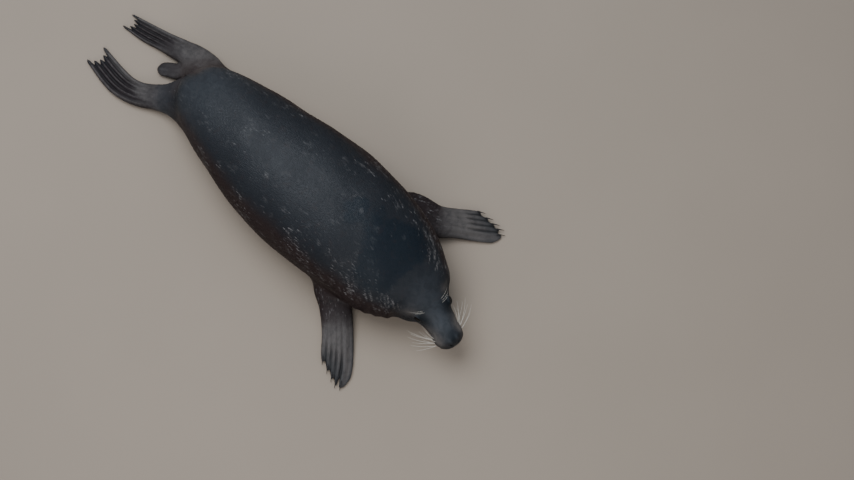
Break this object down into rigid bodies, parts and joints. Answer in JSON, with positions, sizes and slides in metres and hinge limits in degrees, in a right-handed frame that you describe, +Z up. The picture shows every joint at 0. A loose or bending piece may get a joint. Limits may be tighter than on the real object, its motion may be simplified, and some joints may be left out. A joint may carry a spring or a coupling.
{
  "type": "grey seal",
  "caption": "Life-size still model of a grey seal lying on its belly, head low and turned to its right, fore flippers spread and hind flippers trailing.",
  "frame": {"origin": "middle of the flat of the belly, on the floor", "axes": "+X to the seal's left, +Y towards the tail, +Z up"},
  "size_m": [1.0082, 2.0928, 0.4189],
  "materials": {
    "wet_coat": "short wet fur, charcoal with pale flecks",
    "flipper_skin": "short fur over wrinkled skin, grey-brown",
    "tail_skin": "short wet fur, dark grey",
    "claw_horn": "dark horn, satin",
    "eye": "very dark brown, wet gloss"
  },
  "bodies": {
    "root": {"belly": "wet_coat", "chest": "wet_coat", "eye_left": "eye", "eye_right": "eye", "fore_claw_left_1": "claw_horn", "fore_claw_left_2": "claw_horn", "fore_claw_left_3": "claw_horn", "fore_claw_left_4": "claw_horn", "fore_claw_left_5": "claw_horn", "fore_claw_right_1": "claw_horn", "fore_claw_right_2": "claw_horn", "fore_claw_right_3": "claw_horn", "fore_claw_right_4": "claw_horn", "fore_claw_right_5": "claw_horn", "fore_flipper_left": "flipper_skin", "fore_flipper_right": "flipper_skin", "head": "wet_coat", "hind_claw_left_1": "claw_horn", "hind_claw_left_2": "claw_horn", "hind_claw_left_3": "claw_horn", "hind_claw_left_4": "claw_horn", "hind_claw_left_5": "claw_horn", "hind_claw_right_1": "claw_horn", "hind_claw_right_2": "claw_horn", "hind_claw_right_3": "claw_horn", "hind_claw_right_4": "claw_horn", "hind_claw_right_5": "claw_horn", "hind_flipper_left": "flipper_skin", "hind_flipper_right": "flipper_skin", "lower_jaw": "wet_coat", "neck": "wet_coat", "rump": "wet_coat", "tail": "tail_skin"}
  },
  "joints": []
}
